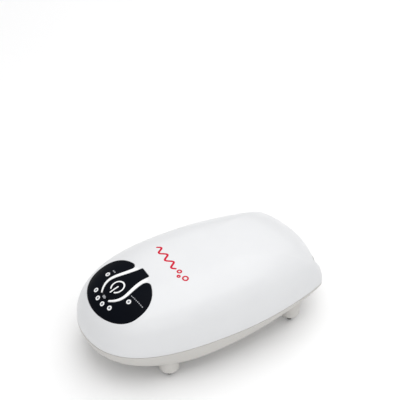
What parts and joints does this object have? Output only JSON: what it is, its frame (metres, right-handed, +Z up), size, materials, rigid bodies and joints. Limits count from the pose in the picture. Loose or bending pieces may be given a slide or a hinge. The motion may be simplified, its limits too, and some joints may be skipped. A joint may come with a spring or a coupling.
{
  "type": "air pump",
  "caption": "Low oval aquarium air pump with a domed white case, dark round control panel with a press key, four foot posts and twin hose barbs in a rear bay.",
  "frame": {"origin": "on the ground under the middle of the case", "axes": "+X to the pump's right side, +Y from the control panel to the air outlets, +Z up"},
  "size_m": [0.09, 0.16, 0.057],
  "materials": {
    "white_shell": "polished white moulding",
    "ivory_tray": "satin ivory moulding",
    "black_panel": "gloss black overlay",
    "clear_lens": "milky light pipe",
    "black_rubber": "matt",
    "grey_rubber": "matt",
    "steel": "plated",
    "core_steel": "stacked laminations",
    "copper": "enamelled wire",
    "magnet": "plated magnet",
    "nickel": "welded strip",
    "circuit_board": "green solder resist",
    "cell_wrap": "plastic sleeve over the cell",
    "grey_plastic": "moulded",
    "frosted_plastic": "translucent moulding",
    "clear_tube": "silicone",
    "felt": "pressed fibre"
  },
  "bodies": {
    "case": {"air_tube_left": "clear_tube", "air_tube_right": "clear_tube", "battery_cell_front": "cell_wrap", "battery_cell_rear": "cell_wrap", "battery_cradle": "grey_plastic", "battery_strip_left": "nickel", "battery_strip_right": "nickel", "case_screw_front_left": "steel", "case_screw_front_right": "steel", "case_screw_rear_left": "steel", "case_screw_rear_right": "steel", "chamber_cover_left": "grey_plastic", "chamber_cover_right": "grey_plastic", "charge_board": "circuit_board", "charge_lens_1": "clear_lens", "charge_lens_2": "clear_lens", "charge_lens_3": "clear_lens", "charge_lens_4": "clear_lens", "charge_socket": "steel", "coil_bobbin": "frosted_plastic", "coil_winding": "copper", "control_board": "circuit_board", "control_panel": "black_panel", "core_stack": "core_steel", "diaphragm_left": "black_rubber", "diaphragm_right": "black_rubber", "filter_cover": "ivory_tray", "foot_pad_front_left": "black_rubber", "foot_pad_front_right": "black_rubber", "foot_pad_rear_left": "black_rubber", "foot_pad_rear_right": "black_rubber", "hinge_pin_left": "steel", "hinge_pin_right": "steel", "intake_filter": "felt", "intake_flap_left": "grey_rubber", "intake_flap_right": "grey_rubber", "lower_shell": "ivory_tray", "outlet_flap_left": "grey_rubber", "outlet_flap_right": "grey_rubber", "outlet_nozzle_left": "frosted_plastic", "outlet_nozzle_right": "frosted_plastic", "power_lens": "clear_lens", "pump_chassis": "grey_plastic", "pump_lens": "clear_lens", "rubber_mount_front_left": "black_rubber", "rubber_mount_front_right": "black_rubber", "rubber_mount_rear_left": "black_rubber", "rubber_mount_rear_right": "black_rubber", "tact_switch": "grey_plastic", "upper_shell": "white_shell", "valve_chamber_left": "frosted_plastic", "valve_chamber_right": "frosted_plastic"},
    "power_button": {"power_button": "black_panel"},
    "switch_plunger": {"switch_plunger": "black_rubber"},
    "swing_arm_left": {"swing_arm_left": "grey_plastic", "arm_magnet_left": "magnet", "diaphragm_disc_left": "steel"},
    "swing_arm_right": {"swing_arm_right": "grey_plastic", "arm_magnet_right": "magnet", "diaphragm_disc_right": "steel"}
  },
  "joints": [
    {"name": "power_button_press", "type": "slide", "parent": "case", "child": "power_button", "axis": [0, 0.2588, -0.9659], "range_m": [0, 0.0005], "stiffness_N_per_m": 3000},
    {"name": "switch_plunger_press", "type": "slide", "parent": "case", "child": "switch_plunger", "axis": [0, 0.2588, -0.9659], "range_m": [0, 0.00025]},
    {"name": "swing_arm_left_swing", "type": "hinge", "parent": "case", "child": "swing_arm_left", "pos_m": [-0.0115, 0.044, 0.034], "axis": [0, 0, 1], "range_deg": [-2.5, 2.5], "stiffness_Nm_per_rad": 0.1, "deforming": ["diaphragm_left", "intake_flap_left", "outlet_flap_left"]},
    {"name": "swing_arm_right_swing", "type": "hinge", "parent": "case", "child": "swing_arm_right", "pos_m": [0.0115, 0.044, 0.034], "axis": [0, 0, 1], "range_deg": [-2.5, 2.5], "stiffness_Nm_per_rad": 0.1, "deforming": ["diaphragm_right", "intake_flap_right", "outlet_flap_right"]}
  ],
  "couplings": [
    {"joint": "switch_plunger_press", "follows": "power_button_press", "ratio": 0.5},
    {"joint": "swing_arm_right_swing", "follows": "swing_arm_left_swing", "ratio": -1}
  ]
}
